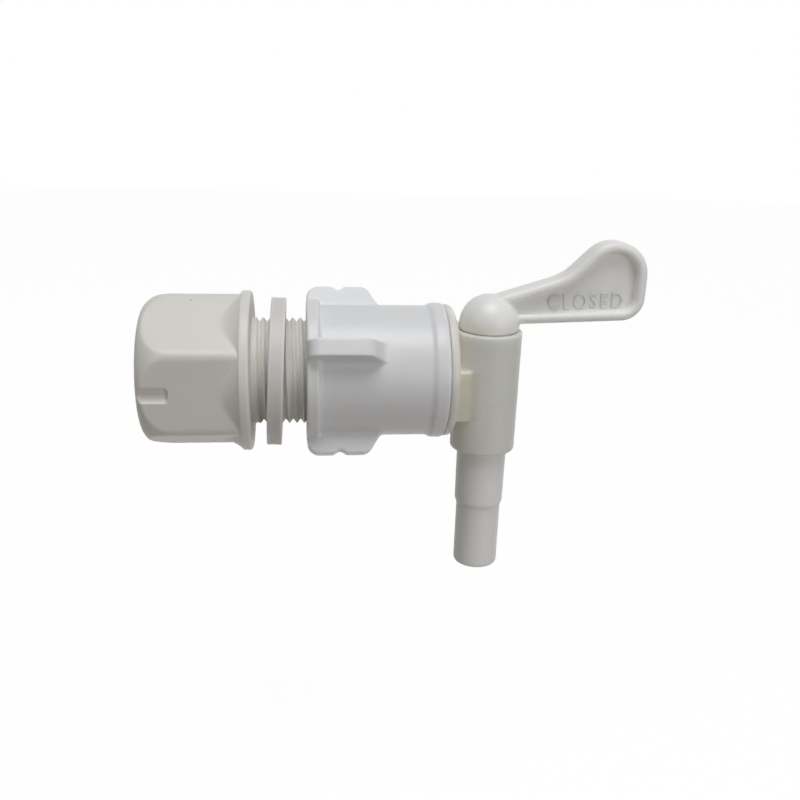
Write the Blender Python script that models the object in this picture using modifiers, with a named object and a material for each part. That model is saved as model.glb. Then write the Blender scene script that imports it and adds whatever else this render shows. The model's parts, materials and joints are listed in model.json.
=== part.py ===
"""Plastic barrel tap: a lever plug tap in a winged socket, and a hollow hex bolt that clamps the barrel's wall.

Sizes below are in millimetres. The origin is the centre of the socket's wall face, +X points out of the barrel
towards the tap, and +Z is up.
"""

import math

import bmesh
import bpy
from mathutils import Matrix, Vector

MM = 0.001
STEPS = 40
ARC_STEP_DEG = 30

# Fits between pieces
SEAT_GAP = 0.3
THREAD_GAP = 0.3
PLUG_GAP = 0.1

# How far a cutter runs past the face it leaves, and how deep one joined block reaches into another
CUT_PAST = 2.0
JOIN_DEPTH = 0.9

# Three-quarter inch pipe thread, drawn here as its plain outer cylinder
THREAD_DIA = 26.44

# Hollow hex bolt, whose head goes inside the barrel
CLAMP_GAP = 13.2
FLANGE_DIA = 39.6
FLANGE_THICK = 2.6
FLANGE_ROUND = 0.7
FLANGE_LIP = 0.5
SCOOP_LENGTH = 6.0
SCOOP_SINK = 0.2
SCOOP_STEPS = 3
HEX_FLATS = 34.4
HEX_CORNER_ROUND = 1.2
HEX_CORNER_STEPS = 3
HEX_SIDES = 6
HEAD_LENGTH = 23.6
HEAD_WALL = 3.4
HEAD_FLOOR = 2.4
CUP_FLOOR_ROUND = 1.5
END_DOME_LENGTH = 10.0
END_DOME_STEP_DEG = 15
END_LIP = 0.6
BOLT_BORE = 19.6
BOLT_ENGAGED = 12.0
BOLT_LEAD = 1.0
HEX_TURN_DEG = 26.3
NOTCH_WIDTH = 3.8
NOTCH_LENGTH = 7.6
NOTCH_DEPTH = 1.0
NOTCH_END_ROUND = 0.8

# Loose sealing washer, hanging on the bolt's thread
WASHER_DIA = 36.8
WASHER_HOLE = 27.7
WASHER_THICK = 3.6
WASHER_ROUND = 0.35
WASHER_FROM_SOCKET = 7.3
WASHER_LEAN_DEG = 2.3

# Winged socket
SOCKET_LENGTH = 34.3
SOCKET_DIA = 32.8
SOCKET_RIM_DIA = 35.6
SOCKET_RIM_LENGTH = 3.0
SOCKET_RIM_EDGE = 0.4
SOCKET_RIM_FILLET = 0.9
SOCKET_MOUTH_LEAD = 0.7
SHOULDER_BORE = 19.0
SHOULDER_THICK = 1.5
BEAD_DIA = 34.1
BEAD_LENGTH = 3.8
BEAD_SLOPE_LENGTH = 0.8
BEAD_EASE_LENGTH = 0.35
BEAD_EASE_RISE = 0.12
BEAD_ROUND = 1.2
WING_COUNT = 4
WING_TURN_DEG = 30.8
WING_RISE = 5.1
WING_THICK = 3.9
WING_EDGE_ROUND = 0.8
WING_SETBACK = 0.15
WING_CREST_END = 14.9
WING_FOOT_END = 16.9
WING_FOOT_RADIUS = 1.8
WING_TOE_LENGTH = 2.0
WING_TOE_DROP = 0.5
WING_LEAD_ROUND = 3.0
WING_TAIL_ROUND = 2.3
WING_NOTCH_EVERY = 2
WING_NOTCH_AT = 8.2
WING_NOTCH_WIDTH = 3.3
WING_NOTCH_DEPTH = 1.15
WING_NOTCH_EDGE_ROUND = 0.5
WING_NOTCH_FLOOR_ROUND = 1.0

# Tap body: disc and threaded tail, duct, web and upright plug housing
DISC_DIA = 32.8
DISC_THICK = 2.0
DISC_ROUND = 1.5
DISC_WALL = 1.8
TAIL_LENGTH = 9.2
TAIL_BORE = 20.4
SEAL_THICK = 1.6
SEAL_INSET = 0.4
SEAL_ROUND = 0.2
HOUSING_OUT = 11.45
HOUSING_TOP_DIA = 17.0
HOUSING_FOOT_DIA = 16.8
HOUSING_TOP = 10.6
HOUSING_FOOT = -20.9
HOUSING_ROUND = 0.7
DUCT_WIDTH = 14.0
DUCT_TOP = 1.3
DUCT_BOTTOM = -11.6
PORT_DIA = 8.2
PORT_SIDES = 24
WEB_THICK = 2.2
WEB_BOTTOM = -15.5
WEB_HEAD_THICK = 2.4
WEB_HEAD_TOP = 12.9

# Lever, domed head, plug and spout, moulded in one piece
PLUG_TOP_DIA = 13.5
PLUG_FOOT_DIA = 13.1
PLUG_HEADROOM = 0.5
SNAP_BEAD = 0.35
SNAP_BEAD_UP = 2.2
SNAP_BEAD_LENGTH = 1.2
DOME_DIA = 15.2
DOME_HEIGHT = 8.9
DOME_SKIRT = 1.3
DOME_EDGE_ROUND = 0.4
DOME_STEPS = 7
SPOUT_TOP_DIA = 12.9
SPOUT_DIA = 11.7
SPOUT_DRAFT = 0.1
SPOUT_STEP_DOWN = 14.9
SPOUT_STEP_SLOPE = 0.9
SPOUT_LENGTH = 33.3
SPOUT_TIP_ROUND = 0.7
SPOUT_BORE = 8.2
BORE_ABOVE_PORT = 0.6
BORE_CONE = 1.2
LEVER_RIM_WIDTH = 2.5
LEVER_THICK = 6.4
LEVER_WEB = 1.8
LEVER_EDGE_ROUND = 1.2
POCKET_FLOOR_ROUND = 0.9
LEVER_SILL = 1.65
LEVER_REACH = 39.25
LEVER_TOP = 22.95
LEVER_LOBE_RADIUS = 8.6
LEVER_HEEL_RADIUS = 5.8
LEVER_WAIST_RADIUS = 14.0
LEVER_UNDER_DEG = 2.2
LEVER_ROOT_HEIGHT = 6.8
LEVER_NECK_DEG = 45.0
LEVER_NECK_LENGTH = 8.7

# Places that follow from the sizes
DISC_X = SOCKET_LENGTH + SEAT_GAP
DISC_FRONT_X = DISC_X + DISC_THICK
HOUSING_X = DISC_X + HOUSING_OUT
TAIL_END_X = DISC_X - TAIL_LENGTH
SHOULDER_X = TAIL_END_X - SEAL_THICK - 2 * SEAT_GAP
PORT_Z = (DUCT_TOP + DUCT_BOTTOM) / 2
DOME_BASE = HOUSING_TOP + SEAT_GAP
SPOUT_TIP = HOUSING_FOOT - SPOUT_LENGTH


def arc(centre, radius, start_deg, end_deg):
    """Points of a round stretch, as (radius or across, along) pairs."""
    count = max(2, round(abs(end_deg - start_deg) / ARC_STEP_DEG))
    angles = [math.radians(start_deg + (end_deg - start_deg) * i / count) for i in range(count + 1)]
    return [(centre[0] + radius * math.cos(a), centre[1] + radius * math.sin(a)) for a in angles]


def rounded_outline(corners):
    """A closed outline from (x, y, radius) corners: each corner becomes an arc of its radius."""
    outline = []
    for i, (x, y, radius) in enumerate(corners):
        here = Vector((x, y))
        before = (Vector(corners[i - 1][:2]) - here).normalized()
        after = (Vector(corners[(i + 1) % len(corners)][:2]) - here).normalized()
        if radius == 0:
            outline.append((x, y))
            continue
        half = before.angle(after) / 2
        centre = here + (before + after).normalized() * radius / math.sin(half)
        first = here + before * radius / math.tan(half) - centre
        turn = first.angle_signed(here + after * radius / math.tan(half) - centre)
        count = max(2, math.ceil(abs(math.degrees(turn)) / ARC_STEP_DEG))
        for k in range(count + 1):
            outline.append(tuple(centre + Matrix.Rotation(-turn * k / count, 2) @ first))
    return outline


def clear_scene():
    for thing in list(bpy.data.objects):
        bpy.data.objects.remove(thing)


def new_collection(name):
    collection = bpy.data.collections.new(name)
    bpy.context.scene.collection.children.link(collection)
    return collection


def plastic(name, colour, roughness):
    material = bpy.data.materials.new(name)
    material.use_nodes = True
    shader = material.node_tree.nodes["Principled BSDF"]
    shader.inputs["Base Color"].default_value = (*colour, 1)
    shader.inputs["Roughness"].default_value = roughness
    shader.inputs["Metallic"].default_value = 0.0
    return material


def turned(name, collection, profile, along="Z"):
    """A solid of revolution from a closed profile of (radius, along) points, outer side running downwards."""
    mesh = bpy.data.meshes.new(name)
    points = [(radius * MM, 0, height * MM) for radius, height in profile]
    edges = [(i, (i + 1) % len(points)) for i in range(len(points))]
    if profile[0][0] == 0 and profile[-1][0] == 0:
        edges.pop()
    mesh.from_pydata(points, edges, [])
    piece = bpy.data.objects.new(name, mesh)
    collection.objects.link(piece)
    screw = piece.modifiers.new("turn", "SCREW")
    screw.axis = "Z"
    screw.angle = 2 * math.pi
    screw.steps = STEPS
    screw.render_steps = STEPS
    screw.use_merge_vertices = True
    screw.merge_threshold = 0.00001
    screw.use_smooth_shade = True
    if along == "X":
        piece.rotation_euler = (0, math.pi / 2, 0)
    return piece


def flat_plate(name, collection, outline, thickness, edge_round=0.0):
    """A plate cut to a flat outline, lying in its own XY plane and centred on it, with round edges."""
    curve = bpy.data.curves.new(name, "CURVE")
    curve.dimensions = "2D"
    curve.fill_mode = "BOTH"
    curve.extrude = (thickness / 2 - edge_round) * MM
    curve.bevel_depth = edge_round * MM
    curve.bevel_resolution = 1
    curve.offset = -edge_round * MM
    spline = curve.splines.new("POLY")
    spline.points.add(len(outline) - 1)
    for point, (x, y) in zip(spline.points, outline):
        point.co = (x * MM, y * MM, 0, 1)
    spline.use_cyclic_u = True
    drawn = bpy.data.objects.new(name, curve)
    collection.objects.link(drawn)
    return as_mesh(drawn, collection)


def as_mesh(drawn, collection):
    """The same shape as a closed mesh object, in place of the curve."""
    bpy.context.view_layer.update()
    seen = drawn.evaluated_get(bpy.context.evaluated_depsgraph_get())
    mesh = bpy.data.meshes.new_from_object(seen)
    shape = bmesh.new()
    shape.from_mesh(mesh)
    bmesh.ops.remove_doubles(shape, verts=shape.verts, dist=0.000005)
    bmesh.ops.recalc_face_normals(shape, faces=shape.faces)
    shape.to_mesh(mesh)
    shape.free()
    name, place = drawn.name, drawn.matrix_world.copy()
    bpy.data.objects.remove(drawn)
    solid = bpy.data.objects.new(name, mesh)
    solid.matrix_world = place
    collection.objects.link(solid)
    return solid


def box(name, collection, low, high):
    shape = bmesh.new()
    bmesh.ops.create_cube(shape, size=1)
    size = [(b - a) * MM for a, b in zip(low, high)]
    bmesh.ops.scale(shape, verts=shape.verts, vec=size)
    mesh = bpy.data.meshes.new(name)
    shape.to_mesh(mesh)
    shape.free()
    solid = bpy.data.objects.new(name, mesh)
    solid.location = [(a + b) / 2 * MM for a, b in zip(low, high)]
    collection.objects.link(solid)
    return solid


def combine(piece, tool, how):
    cut = piece.modifiers.new(how.lower(), "BOOLEAN")
    cut.operation = how
    cut.object = tool
    cut.solver = "EXACT"
    tool.hide_render = True
    tool.display_type = "WIRE"


def finish(piece, material):
    piece.data.materials.append(material)


def ring_profile(inner, outer, low, high, edge_round):
    """A square ring with round outer edges."""
    r = edge_round
    return [
        (inner, high),
        *arc((outer - r, high - r), r, 90, 0),
        *arc((outer - r, low + r), r, 0, -90),
        (inner, low),
    ]


def scoop_profile(flange_left, top, foot):
    """The hollow curve from the flange's back down into the flats, as (radius, along) points."""
    shares = [1 - i / SCOOP_STEPS for i in range(SCOOP_STEPS + 1)]
    return [(foot + (top - foot) * share ** 2, flange_left - SCOOP_LENGTH * (1 - share)) for share in shares]


def dome_profile(head_end, lip, rim):
    """The domed end of the head, a quarter ellipse from its widest point down to the lip of the recess."""
    count = round(90 / END_DOME_STEP_DEG)
    angles = [math.pi / 2 * (1 - i / count) for i in range(count + 1)]
    return [(lip + (rim - lip) * math.sin(a), head_end + END_DOME_LENGTH * (1 - math.cos(a))) for a in angles]


def make_hex_bolt(parts, tools):
    """The flange and threaded shank are turned, and the hex head is a prism trimmed by a domed envelope."""
    flange_left = -CLAMP_GAP - FLANGE_THICK
    head_end = flange_left - HEAD_LENGTH
    flat_radius = HEX_FLATS / 2
    corner_to_flat = math.pi / HEX_SIDES
    corner_radius = flat_radius / math.cos(corner_to_flat)
    flange_radius = FLANGE_DIA / 2
    shank = THREAD_DIA / 2
    cup_radius = flat_radius - HEAD_WALL

    bolt = turned("hex_bolt", parts, [
        (BOLT_BORE / 2, BOLT_ENGAGED),
        (shank - BOLT_LEAD, BOLT_ENGAGED),
        (shank, BOLT_ENGAGED - BOLT_LEAD),
        (shank, -CLAMP_GAP),
        *arc((flange_radius - FLANGE_ROUND, -CLAMP_GAP - FLANGE_ROUND), FLANGE_ROUND, 90, 0),
        *arc((flange_radius - FLANGE_ROUND, flange_left + FLANGE_ROUND), FLANGE_ROUND, 0, -45),
        *scoop_profile(flange_left, flange_radius - FLANGE_LIP, flat_radius - SCOOP_SINK),
        (BOLT_BORE / 2, flange_left - SCOOP_LENGTH),
    ], "X")

    shape = bmesh.new()
    bmesh.ops.create_cone(
        shape, cap_ends=True, segments=HEX_SIDES, radius1=corner_radius * MM, radius2=corner_radius * MM,
        depth=HEAD_LENGTH * MM,
    )
    upright = [e for e in shape.edges if abs(e.verts[0].co.z - e.verts[1].co.z) > MM]
    bmesh.ops.bevel(
        shape, geom=upright, offset=HEX_CORNER_ROUND * MM, offset_type="OFFSET", segments=HEX_CORNER_STEPS,
        profile=0.5, affect="EDGES", material=-1,
    )
    mesh = bpy.data.meshes.new("hex_head")
    shape.to_mesh(mesh)
    shape.free()
    head = bpy.data.objects.new("hex_head", mesh)
    tools.objects.link(head)
    spin = Matrix.Rotation(math.radians(-HEX_TURN_DEG), 4, "X")
    lay = Matrix.Rotation(math.pi / 2, 4, "Y")
    middle = Matrix.Translation(Vector(((head_end + flange_left) / 2 * MM, 0, 0)))
    head.matrix_world = middle @ spin @ lay

    envelope = turned("head_envelope", tools, [
        (0, flange_left + JOIN_DEPTH),
        (corner_radius, flange_left + JOIN_DEPTH),
        *dome_profile(head_end, cup_radius + END_LIP, corner_radius),
        (0, head_end),
    ], "X")
    combine(head, envelope, "INTERSECT")
    combine(bolt, head, "UNION")

    cup_floor = flange_left - HEAD_FLOOR
    cup = turned("head_cup", tools, [
        (0, cup_floor),
        *arc((cup_radius - CUP_FLOOR_ROUND, cup_floor - CUP_FLOOR_ROUND), CUP_FLOOR_ROUND, 90, 0),
        (cup_radius, head_end - CUT_PAST),
        (0, head_end - CUT_PAST),
    ], "X")
    combine(bolt, cup, "DIFFERENCE")
    bore = turned("bolt_bore", tools, [
        (0, BOLT_ENGAGED + CUT_PAST),
        (BOLT_BORE / 2, BOLT_ENGAGED + CUT_PAST),
        (BOLT_BORE / 2, cup_floor - CUT_PAST),
        (0, cup_floor - CUT_PAST),
    ], "X")
    combine(bolt, bore, "DIFFERENCE")

    for side in (0, math.pi):
        turn = corner_to_flat - math.radians(HEX_TURN_DEG) + side
        notch = notch_cutter(tools, head_end, flat_radius, turn)
        combine(bolt, notch, "DIFFERENCE")
    return bolt


def notch_cutter(tools, head_end, flat_radius, turn):
    """A round bar along X, set outside a flat so that only a shallow groove of its width is sunk."""
    radius = (NOTCH_WIDTH ** 2 / 4 + NOTCH_DEPTH ** 2) / (2 * NOTCH_DEPTH)
    groove_end = head_end + NOTCH_LENGTH
    notch = turned("flat_notch", tools, [
        (0, groove_end),
        *arc((radius - NOTCH_END_ROUND, groove_end - NOTCH_END_ROUND), NOTCH_END_ROUND, 90, 0),
        (radius, head_end - CUT_PAST),
        (0, head_end - CUT_PAST),
    ], "X")
    outside = (flat_radius + radius - NOTCH_DEPTH) * MM
    notch.location = Matrix.Rotation(turn, 3, "X") @ Vector((0, -outside, 0))
    return notch


def make_washer(parts):
    """A flat ring that hangs on the thread a little askew, its hole touching the thread's top."""
    half = WASHER_THICK / 2
    washer = turned("sealing_washer", parts, ring_profile(
        WASHER_HOLE / 2, WASHER_DIA / 2, -half, half, WASHER_ROUND,
    ), "X")
    lean = math.radians(WASHER_LEAN_DEG)
    lift_lost = half * math.sin(lean)
    drop = (WASHER_HOLE - THREAD_DIA) / 2 - SEAT_GAP - lift_lost
    washer.rotation_euler = (0, math.pi / 2 + lean, 0)
    washer.location = (-WASHER_FROM_SOCKET * MM, 0, -drop * MM)
    return washer


def make_socket(parts, tools):
    """A turned sleeve, threaded at both ends, with hand wings near its wall face, every other one notched."""
    mouth = THREAD_DIA / 2 + THREAD_GAP
    body = SOCKET_DIA / 2
    rim = SOCKET_RIM_DIA / 2
    bead = BEAD_DIA / 2
    shoulder = SHOULDER_BORE / 2
    slope = SOCKET_LENGTH - BEAD_LENGTH
    half_slope = BEAD_SLOPE_LENGTH / 2
    edge = SOCKET_RIM_EDGE
    fillet = SOCKET_RIM_FILLET
    socket = turned("winged_socket", parts, [
        (mouth + SOCKET_MOUTH_LEAD, SOCKET_LENGTH),
        *arc((bead - BEAD_ROUND, SOCKET_LENGTH - BEAD_ROUND), BEAD_ROUND, 90, 0),
        (bead, slope + half_slope + BEAD_EASE_LENGTH),
        (bead - BEAD_EASE_RISE, slope + half_slope),
        (body + BEAD_EASE_RISE, slope - half_slope),
        (body, slope - half_slope - BEAD_EASE_LENGTH),
        *arc((body + fillet, SOCKET_RIM_LENGTH + fillet), fillet, 180, 270),
        *arc((rim - edge, SOCKET_RIM_LENGTH - edge), edge, 90, 0),
        *arc((rim - edge, edge), edge, 0, -90),
        (mouth + SOCKET_MOUTH_LEAD, 0),
        (mouth, SOCKET_MOUTH_LEAD),
        (mouth, SHOULDER_X - SHOULDER_THICK),
        (shoulder, SHOULDER_X - SHOULDER_THICK),
        (shoulder, SHOULDER_X),
        (mouth, SHOULDER_X),
        (mouth, SOCKET_LENGTH - SOCKET_MOUTH_LEAD),
    ], "X")
    for i in range(WING_COUNT):
        wing = make_wing(tools, mouth, notched=i % WING_NOTCH_EVERY == 1)
        angle = math.radians(WING_TURN_DEG) + 2 * math.pi * i / WING_COUNT
        wing.matrix_world = Matrix.Rotation(-angle, 4, "X") @ wing.matrix_world
        combine(socket, wing, "UNION")
    return socket


def make_wing(tools, root, notched):
    """One flat wing, pointing along -Y: a round leading corner, a thumb notch on some, and a sloping tail."""
    foot = SOCKET_DIA / 2
    inside = (root + foot) / 2
    tip = foot + WING_RISE
    half_notch = WING_NOTCH_WIDTH / 2
    notch = [
        (WING_NOTCH_AT - half_notch, tip, WING_NOTCH_EDGE_ROUND),
        (WING_NOTCH_AT, tip - WING_NOTCH_DEPTH, WING_NOTCH_FLOOR_ROUND),
        (WING_NOTCH_AT + half_notch, tip, WING_NOTCH_EDGE_ROUND),
    ]
    outline = rounded_outline([
        (WING_SETBACK, inside, 0),
        (WING_SETBACK, tip, WING_LEAD_ROUND),
        *(notch if notched else []),
        (WING_CREST_END, tip, WING_TAIL_ROUND),
        (WING_FOOT_END, foot, WING_FOOT_RADIUS),
        (WING_FOOT_END + WING_TOE_LENGTH, foot - WING_TOE_DROP, 0),
        (WING_FOOT_END + WING_TOE_LENGTH, inside, 0),
    ])
    wing = flat_plate("wing", tools, outline, WING_THICK, WING_EDGE_ROUND)
    wing.matrix_world = Matrix.Rotation(math.pi, 4, "X")
    return wing


def make_tail_seal(parts):
    """A flat ring trapped between the socket's shoulder and the end of the tap's tail."""
    return turned("tail_seal", parts, ring_profile(
        SHOULDER_BORE / 2 + SEAT_GAP, THREAD_DIA / 2 - SEAL_INSET, SHOULDER_X + SEAT_GAP, TAIL_END_X - SEAT_GAP,
        SEAL_ROUND,
    ), "X")


def bore_profile(extra):
    """The plug's taper, from the housing's top down to its foot, as (radius, height) points."""
    bead_top = HOUSING_FOOT + SNAP_BEAD_UP + SNAP_BEAD_LENGTH
    bead_low = HOUSING_FOOT + SNAP_BEAD_UP
    top = PLUG_TOP_DIA / 2
    foot = PLUG_FOOT_DIA / 2
    fall = (top - foot) / (HOUSING_TOP - HOUSING_FOOT)
    neck = foot + fall * SNAP_BEAD_UP + extra
    return [
        (top + extra, HOUSING_TOP),
        (neck, bead_top + extra),
        (neck + SNAP_BEAD, bead_top - SNAP_BEAD + extra),
        (neck + SNAP_BEAD, bead_low + SNAP_BEAD - extra),
        (neck, bead_low - extra),
        (foot + extra, HOUSING_FOOT),
    ]


def make_tap_body(parts, tools):
    """The disc and tail are turned about X, the plug housing about Z, and a duct and webs join them."""
    disc = DISC_DIA / 2
    tail = THREAD_DIA / 2
    bore = TAIL_BORE / 2
    floor = DISC_FRONT_X - DISC_WALL
    body = turned("tap_body", parts, [
        (0, DISC_FRONT_X),
        *arc((disc - DISC_ROUND, DISC_FRONT_X - DISC_ROUND), DISC_ROUND, 90, 0),
        (disc, DISC_X),
        (tail, DISC_X),
        (tail, TAIL_END_X + BOLT_LEAD),
        (tail - BOLT_LEAD, TAIL_END_X),
        (bore, TAIL_END_X),
        (bore, floor),
        (0, floor),
    ], "X")

    top = HOUSING_TOP_DIA / 2
    foot = HOUSING_FOOT_DIA / 2
    r = HOUSING_ROUND
    housing = turned("plug_housing", tools, [
        (0, HOUSING_TOP),
        *arc((top - r, HOUSING_TOP - r), r, 90, 0),
        *arc((foot - r, HOUSING_FOOT + r), r, 0, -90),
        (0, HOUSING_FOOT),
    ])
    housing.location = (HOUSING_X * MM, 0, 0)
    combine(body, housing, "UNION")

    inside_disc = DISC_FRONT_X - JOIN_DEPTH
    half = DUCT_WIDTH / 2
    duct = box("duct", tools, (inside_disc, -half, DUCT_BOTTOM), (HOUSING_X, half, DUCT_TOP))
    combine(body, duct, "UNION")
    web = box(
        "web", tools, (inside_disc, -WEB_THICK / 2, WEB_BOTTOM),
        (HOUSING_X - foot + JOIN_DEPTH, WEB_THICK / 2, HOUSING_TOP - r),
    )
    combine(body, web, "UNION")
    web_head = box(
        "web_head", tools, (inside_disc, -WEB_HEAD_THICK / 2, HOUSING_TOP - 2 * r),
        (HOUSING_X - DOME_DIA / 2 - SEAT_GAP, WEB_HEAD_THICK / 2, WEB_HEAD_TOP),
    )
    combine(body, web_head, "UNION")

    port = port_cutter("inlet_port", tools, floor - CUT_PAST, HOUSING_X)
    combine(body, port, "DIFFERENCE")

    taper = bore_profile(PLUG_GAP)
    bore_cut = turned("plug_bore", tools, [
        (0, HOUSING_TOP + CUT_PAST),
        (taper[0][0], HOUSING_TOP + CUT_PAST),
        *taper,
        (taper[-1][0], HOUSING_FOOT - CUT_PAST),
        (0, HOUSING_FOOT - CUT_PAST),
    ])
    bore_cut.location = (HOUSING_X * MM, 0, 0)
    combine(body, bore_cut, "DIFFERENCE")
    return body


def port_cutter(name, tools, start, end):
    shape = bmesh.new()
    bmesh.ops.create_cone(
        shape, cap_ends=True, segments=PORT_SIDES, radius1=PORT_DIA / 2 * MM, radius2=PORT_DIA / 2 * MM,
        depth=(end - start) * MM,
    )
    mesh = bpy.data.meshes.new(name)
    shape.to_mesh(mesh)
    shape.free()
    port = bpy.data.objects.new(name, mesh)
    tools.objects.link(port)
    port.rotation_euler = (0, math.pi / 2, 0)
    port.location = ((start + end) / 2 * MM, 0, PORT_Z * MM)
    return port


def lever_corners():
    """The lever's teardrop in X and Z, as straight-sided corners with the radius each is rounded to."""
    right = HOUSING_X + LEVER_REACH
    sill = HOUSING_TOP + LEVER_SILL
    heel_z = sill + LEVER_REACH * math.tan(math.radians(LEVER_UNDER_DEG))
    neck = math.radians(LEVER_NECK_DEG)
    lobe_x = right - LEVER_LOBE_RADIUS
    lobe_z = HOUSING_TOP + LEVER_TOP - LEVER_LOBE_RADIUS
    tangent_x = lobe_x - LEVER_LOBE_RADIUS * math.sin(neck)
    tangent_z = lobe_z + LEVER_LOBE_RADIUS * math.cos(neck)
    peak_z = tangent_z + (right - tangent_x) * math.tan(neck)
    waist_x = tangent_x - LEVER_NECK_LENGTH * math.cos(neck)
    waist_z = tangent_z - LEVER_NECK_LENGTH * math.sin(neck)
    return [
        (HOUSING_X, sill, 0),
        (right, heel_z, LEVER_HEEL_RADIUS),
        (right, peak_z, LEVER_LOBE_RADIUS),
        (waist_x, waist_z, LEVER_WAIST_RADIUS),
        (HOUSING_X, sill + LEVER_ROOT_HEIGHT, 0),
    ]


def inset_corners(corners, distance):
    """The same anticlockwise outline moved inwards: outer corners tighten and inner ones open up."""
    moved = []
    for i, (x, y, radius) in enumerate(corners):
        here = Vector((x, y))
        before = (Vector(corners[i - 1][:2]) - here).normalized()
        after = (Vector(corners[(i + 1) % len(corners)][:2]) - here).normalized()
        inner = 1 if after.cross(before) > 0 else -1
        shift = (before + after).normalized() * inner * distance / math.sin(before.angle(after) / 2)
        moved.append((x + shift.x, y + shift.y, max(0, radius - inner * distance)))
    return moved


def make_lever(tools):
    """A plate with round edges, standing in the XZ plane, with a pocket in both sides that leaves a thin web."""
    outline = lever_corners()
    stand = Matrix.Rotation(math.pi / 2, 4, "X")
    lever = flat_plate("lever", tools, rounded_outline(outline), LEVER_THICK, LEVER_EDGE_ROUND)
    lever.matrix_world = stand
    pocket_outline = rounded_outline(inset_corners(outline, LEVER_RIM_WIDTH))
    for side in (-1, 1):
        pocket = flat_plate("lever_pocket", tools, pocket_outline, LEVER_THICK - LEVER_WEB, POCKET_FLOOR_ROUND)
        pocket.matrix_world = Matrix.Translation((0, side * LEVER_THICK / 2 * MM, 0)) @ stand
        combine(lever, pocket, "DIFFERENCE")
    return lever


def make_lever_plug(parts, tools):
    """A turned head, plug and spout, hollow from the tip up to the side port, with the lever joined on."""
    dome = DOME_DIA / 2
    taper = bore_profile(0.0)
    spout_top = SPOUT_TOP_DIA / 2
    spout = SPOUT_DIA / 2
    bore = SPOUT_BORE / 2
    step_z = HOUSING_FOOT - SPOUT_STEP_DOWN
    bore_top = PORT_Z + PORT_DIA / 2 + BORE_ABOVE_PORT
    round_height = DOME_HEIGHT - DOME_SKIRT
    dome_angles = [math.pi / 2 * i / DOME_STEPS for i in range(1, DOME_STEPS + 1)]
    skirt_top = DOME_BASE + DOME_SKIRT
    dome_points = [(dome * math.sin(a), skirt_top + round_height * math.cos(a)) for a in dome_angles]
    plug = turned("lever_plug", parts, [
        (0, DOME_BASE + DOME_HEIGHT),
        *dome_points,
        *arc((dome - DOME_EDGE_ROUND, DOME_BASE + DOME_EDGE_ROUND), DOME_EDGE_ROUND, 0, -90),
        (taper[0][0], DOME_BASE),
        *taper,
        (spout_top, HOUSING_FOOT - PLUG_HEADROOM),
        (spout_top - SPOUT_DRAFT, step_z),
        (spout, step_z - SPOUT_STEP_SLOPE),
        *arc((spout - SPOUT_TIP_ROUND, SPOUT_TIP + SPOUT_TIP_ROUND), SPOUT_TIP_ROUND, 0, -90),
        (bore, SPOUT_TIP),
        (bore, bore_top),
        (0, bore_top + BORE_CONE),
    ])
    plug.location = (HOUSING_X * MM, 0, 0)
    combine(plug, make_lever(tools), "UNION")
    port = port_cutter("plug_port", tools, 0, PLUG_TOP_DIA)
    port.rotation_euler = (math.pi / 2, 0, 0)
    port.location = (HOUSING_X * MM, -PLUG_TOP_DIA / 2 * MM, PORT_Z * MM)
    combine(plug, port, "DIFFERENCE")
    return plug


def main():
    clear_scene()
    parts = new_collection("barrel_tap")
    tools = new_collection("cutters")
    warm_white = plastic("warm_white_plastic", (0.80, 0.79, 0.75), 0.42)
    cool_white = plastic("cool_white_plastic", (0.83, 0.84, 0.86), 0.36)
    natural = plastic("natural_polypropylene", (0.70, 0.69, 0.60), 0.34)
    seal_white = plastic("seal_polyethylene", (0.78, 0.78, 0.76), 0.45)
    finish(make_hex_bolt(parts, tools), warm_white)
    finish(make_washer(parts), seal_white)
    finish(make_socket(parts, tools), cool_white)
    finish(make_tail_seal(parts), seal_white)
    finish(make_tap_body(parts, tools), natural)
    finish(make_lever_plug(parts, tools), cool_white)


main()
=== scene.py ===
import json
import math

import bmesh
import bpy
from mathutils import Matrix, Vector


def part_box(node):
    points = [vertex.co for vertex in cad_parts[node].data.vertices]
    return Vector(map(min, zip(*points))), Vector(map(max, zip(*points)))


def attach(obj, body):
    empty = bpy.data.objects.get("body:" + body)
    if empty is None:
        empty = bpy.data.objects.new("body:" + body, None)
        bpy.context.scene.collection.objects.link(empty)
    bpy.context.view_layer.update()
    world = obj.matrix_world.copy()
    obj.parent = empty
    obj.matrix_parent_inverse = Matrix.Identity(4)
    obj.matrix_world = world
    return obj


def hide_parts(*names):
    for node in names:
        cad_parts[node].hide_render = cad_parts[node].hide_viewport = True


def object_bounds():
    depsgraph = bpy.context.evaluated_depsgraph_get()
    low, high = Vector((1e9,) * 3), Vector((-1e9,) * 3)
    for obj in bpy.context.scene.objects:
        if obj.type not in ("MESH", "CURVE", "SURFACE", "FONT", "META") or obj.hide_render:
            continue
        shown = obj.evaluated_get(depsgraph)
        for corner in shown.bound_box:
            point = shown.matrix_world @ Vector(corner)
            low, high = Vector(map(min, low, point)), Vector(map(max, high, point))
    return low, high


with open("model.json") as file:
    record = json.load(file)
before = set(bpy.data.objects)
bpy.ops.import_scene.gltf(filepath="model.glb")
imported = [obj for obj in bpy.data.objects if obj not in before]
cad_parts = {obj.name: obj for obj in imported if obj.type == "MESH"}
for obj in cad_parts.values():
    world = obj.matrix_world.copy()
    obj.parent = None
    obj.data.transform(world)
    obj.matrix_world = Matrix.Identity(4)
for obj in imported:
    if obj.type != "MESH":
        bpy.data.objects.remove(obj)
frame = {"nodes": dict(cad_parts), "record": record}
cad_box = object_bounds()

# Camera, as solved from the photograph: 0.2 m in front of the tap, a little above it and to the left
# of its middle. The focal length is in pixels of the 800-pixel frame.
PHOTO_PIXELS = 800
FOCAL_PIXELS = 866
CAMERA_PLACE = (-0.00144, -0.21021, 0.06136)
CAMERA_YAW_DEG = 6.89
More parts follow.
